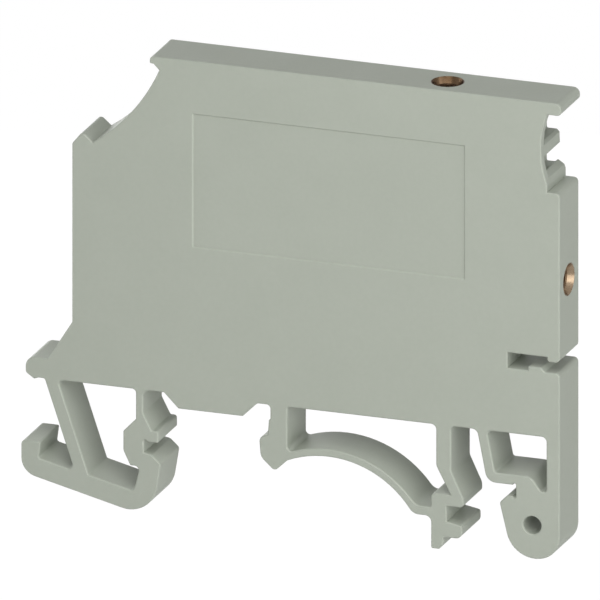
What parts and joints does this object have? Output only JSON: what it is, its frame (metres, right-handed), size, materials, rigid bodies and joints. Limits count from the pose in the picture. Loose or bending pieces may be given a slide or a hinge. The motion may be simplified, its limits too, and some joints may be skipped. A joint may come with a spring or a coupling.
{
  "type": "terminal block end plate",
  "caption": "Flat moulded end plate for a row of rail terminals, with a clip-on rail foot, a flange along its top, a shallow mark recess and brass sockets in its top and side.",
  "frame": {"origin": "on the rail's centre line, on the face of the rail's flanges, half way through the plate", "axes": "+X across the rail from the sprung foot to the fixed foot, +Y along the rail from the marked face to the plain face, +Z away from the rail"},
  "size_m": [0.0513, 0.005, 0.0434],
  "materials": {
    "housing_plastic": "satin grey-green moulding with a faint grain",
    "socket_brass": "turned and slightly dull"
  },
  "bodies": {
    "root": {"housing": "housing_plastic", "top_socket": "socket_brass", "side_socket": "socket_brass"}
  },
  "joints": []
}
